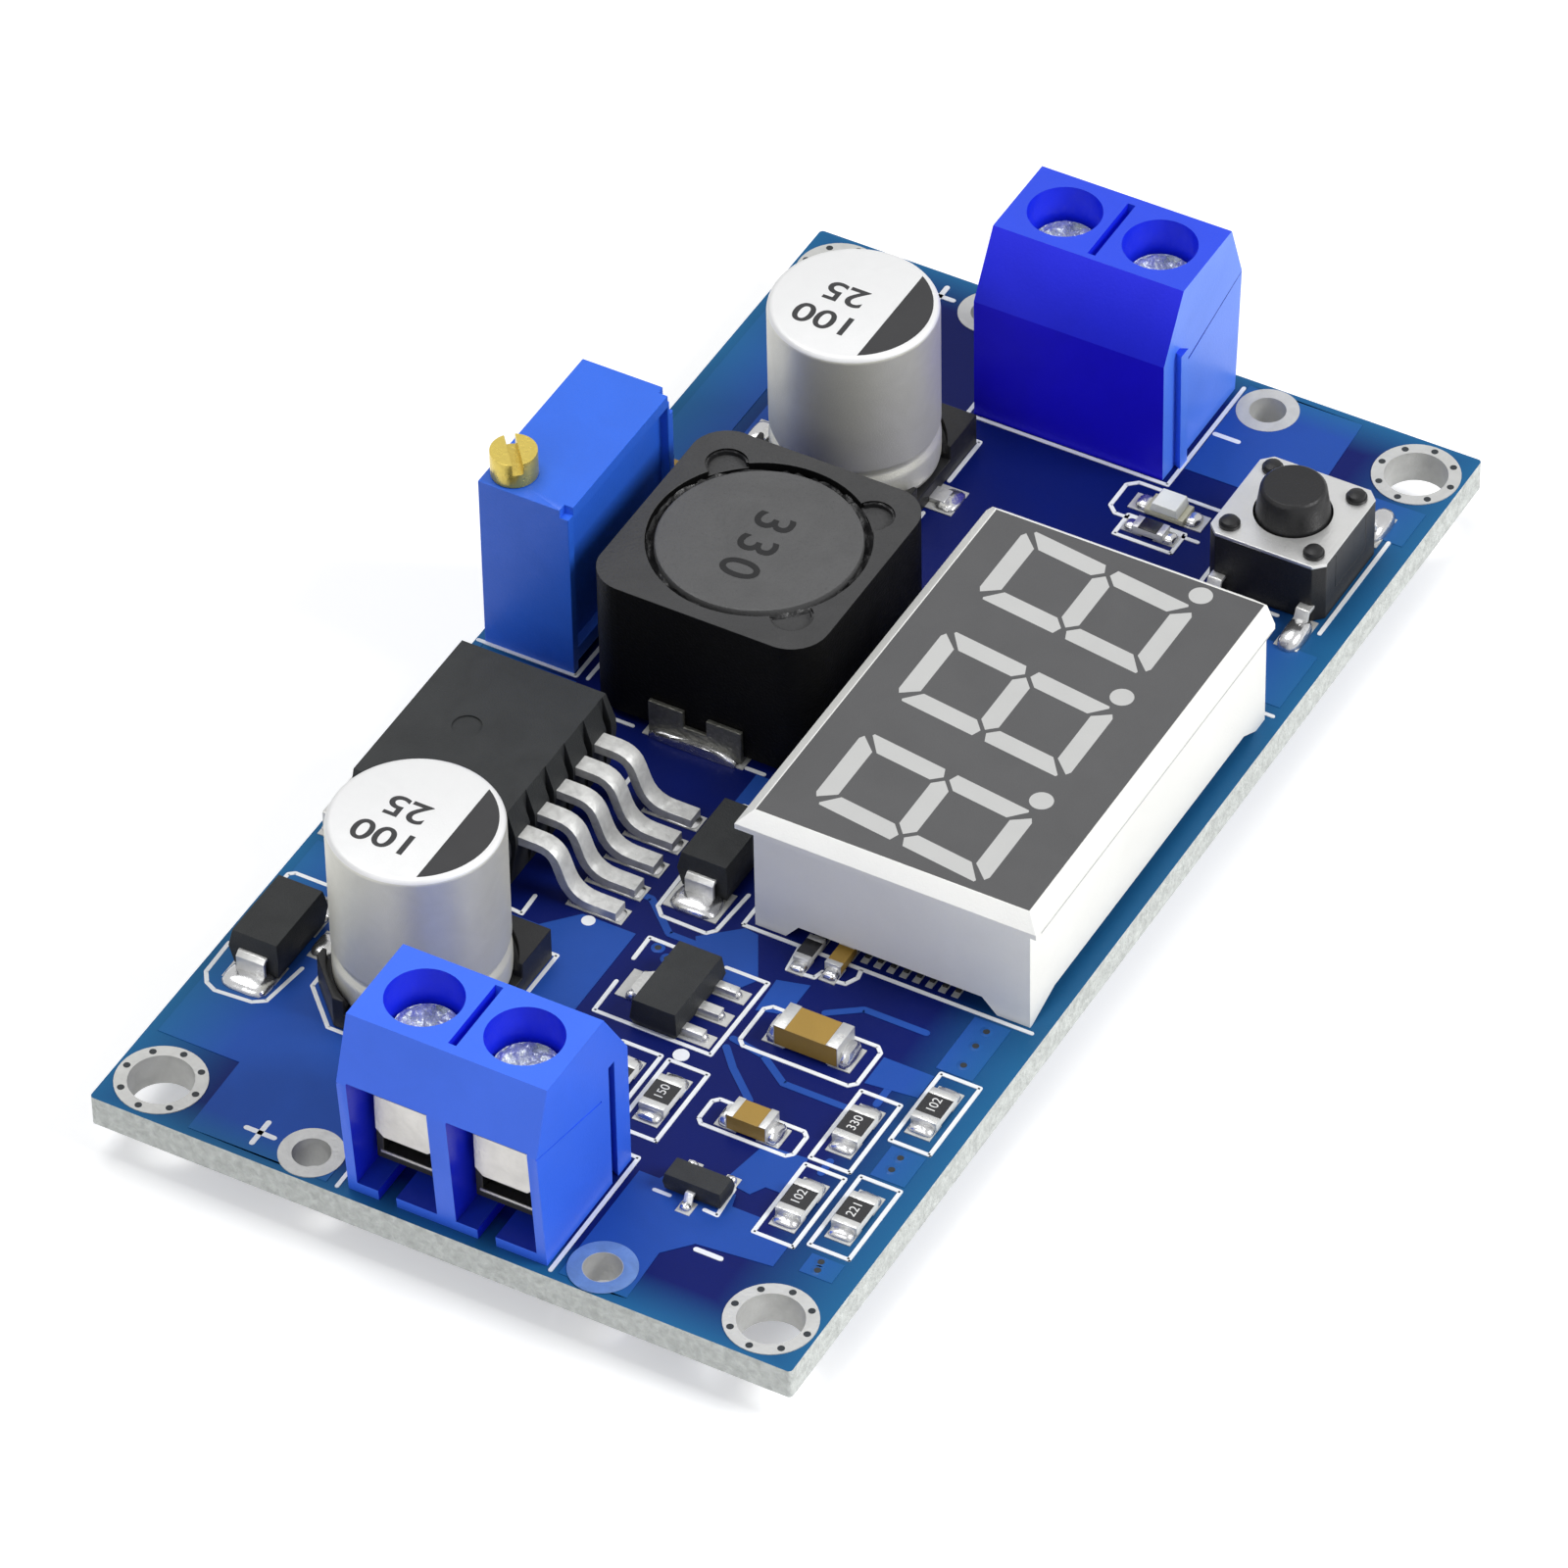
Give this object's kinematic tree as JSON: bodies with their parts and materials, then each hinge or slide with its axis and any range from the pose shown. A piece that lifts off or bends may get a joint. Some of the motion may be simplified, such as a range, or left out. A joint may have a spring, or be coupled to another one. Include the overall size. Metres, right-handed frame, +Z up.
{
  "type": "buck converter module",
  "caption": "Blue adjustable step-down power board with screw terminals, a digit meter and a push switch.",
  "frame": {"origin": "centre of the mounting hole pattern on the board's underside", "axes": "+X from the input terminal to the output terminal, +Y towards the edge with the trimmer, +Z up out of the component side"},
  "size_m": [0.066, 0.035, 0.0146],
  "materials": {
    "board": "blue solder mask over glass fibre",
    "tinned": "tinned copper",
    "terminal_blue": "moulded plastic",
    "nickel": "nickel plated brass",
    "zinc": "zinc plated steel",
    "trimmer_blue": "moulded plastic",
    "potting": "cast resin",
    "brass": "turned",
    "ferrite": "sintered ferrite",
    "ferrite_disc": "sintered ferrite",
    "winding": "enamelled copper wire",
    "adhesive": "black glue",
    "can": "drawn can",
    "black_base": "moulded plastic",
    "package": "moulded resin",
    "ceramic": "fired ceramic",
    "alumina": "fired alumina",
    "glaze": "glass glaze",
    "lens": "clear resin",
    "substrate": "laminate",
    "cover_steel": "pressed steel",
    "shell": "moulded plastic",
    "face": "dark print",
    "segment": "milky resin"
  },
  "bodies": {
    "board": {"circuit_board": "board", "tinned_lands": "tinned", "input_terminal_housing": "terminal_blue", "input_terminal_contacts": "nickel", "output_terminal_housing": "terminal_blue", "output_terminal_contacts": "nickel", "trimmer_housing": "trimmer_blue", "trimmer_base": "potting", "trimmer_pins": "tinned", "inductor_shield": "ferrite", "inductor_core": "ferrite_disc", "inductor_winding": "winding", "inductor_adhesive": "adhesive", "inductor_clips": "tinned", "input_capacitor_can": "can", "input_capacitor_base": "black_base", "input_capacitor_leads": "tinned", "output_capacitor_can": "can", "output_capacitor_base": "black_base", "output_capacitor_leads": "tinned", "regulator_body": "package", "regulator_tab": "tinned", "regulator_leads": "tinned", "input_diode_body": "package", "input_diode_leads": "tinned", "output_diode_body": "package", "output_diode_leads": "tinned", "logic_supply_body": "package", "logic_supply_leads": "tinned", "transistor_body": "package", "transistor_leads": "tinned", "ceramic_capacitor_bodies": "ceramic", "chip_end_caps": "tinned", "chip_resistor_bodies": "alumina", "chip_resistor_glazes": "glaze", "led_base": "substrate", "led_lens": "lens", "switch_base": "black_base", "switch_cover": "cover_steel", "switch_leads": "tinned", "switch_dome": "cover_steel", "display_shell": "shell", "display_face": "face", "display_segments": "segment", "display_carrier": "substrate", "display_pins": "tinned", "controller_body": "package", "controller_leads": "tinned"},
    "button": {"switch_button": "black_base"},
    "trimmer_rotor": {"trimmer_screw": "brass"},
    "input_screw_1": {"input_screw_1": "zinc"},
    "input_cage_1": {"input_cage_1": "zinc"},
    "input_screw_2": {"input_screw_2": "zinc"},
    "input_cage_2": {"input_cage_2": "zinc"},
    "output_screw_1": {"output_screw_1": "zinc"},
    "output_cage_1": {"output_cage_1": "zinc"},
    "output_screw_2": {"output_screw_2": "zinc"},
    "output_cage_2": {"output_cage_2": "zinc"}
  },
  "joints": [
    {"name": "button_press", "type": "slide", "parent": "board", "child": "button", "axis": [0, 0, -1], "range_m": [0, 0.00025], "stiffness_N_per_m": 1000},
    {"name": "trimmer_turn", "type": "hinge", "parent": "board", "child": "trimmer_rotor", "pos_m": [0.00175, 0.01585, 0.0114], "axis": [0, 0, -1], "continuous": true},
    {"name": "input_screw_1_turn", "type": "hinge", "parent": "board", "child": "input_screw_1", "pos_m": [-0.02945, -0.00278, 0.0102], "axis": [0, 0, -1], "range_deg": [-184, 724]},
    {"name": "input_cage_1_lift", "type": "slide", "parent": "board", "child": "input_cage_1", "axis": [0, 0, 1], "range_m": [-0.00025, 0.001]},
    {"name": "input_screw_2_turn", "type": "hinge", "parent": "board", "child": "input_screw_2", "pos_m": [-0.02945, 0.00217, 0.0102], "axis": [0, 0, -1], "range_deg": [-184, 724]},
    {"name": "input_cage_2_lift", "type": "slide", "parent": "board", "child": "input_cage_2", "axis": [0, 0, 1], "range_m": [-0.00025, 0.001]},
    {"name": "output_screw_1_turn", "type": "hinge", "parent": "board", "child": "output_screw_1", "pos_m": [0.0291, 0.00234, 0.0102], "axis": [0, 0, -1], "range_deg": [-184, 724]},
    {"name": "output_cage_1_lift", "type": "slide", "parent": "board", "child": "output_cage_1", "axis": [0, 0, 1], "range_m": [-0.00025, 0.001]},
    {"name": "output_screw_2_turn", "type": "hinge", "parent": "board", "child": "output_screw_2", "pos_m": [0.0291, -0.00261, 0.0102], "axis": [0, 0, -1], "range_deg": [-184, 724]},
    {"name": "output_cage_2_lift", "type": "slide", "parent": "board", "child": "output_cage_2", "axis": [0, 0, 1], "range_m": [-0.00025, 0.001]}
  ],
  "couplings": [
    {"joint": "input_screw_1_turn", "follows": "input_cage_1_lift", "rad_per_m": 12566},
    {"joint": "input_screw_2_turn", "follows": "input_cage_2_lift", "rad_per_m": 12566},
    {"joint": "output_screw_1_turn", "follows": "output_cage_1_lift", "rad_per_m": 12566},
    {"joint": "output_screw_2_turn", "follows": "output_cage_2_lift", "rad_per_m": 12566}
  ]
}
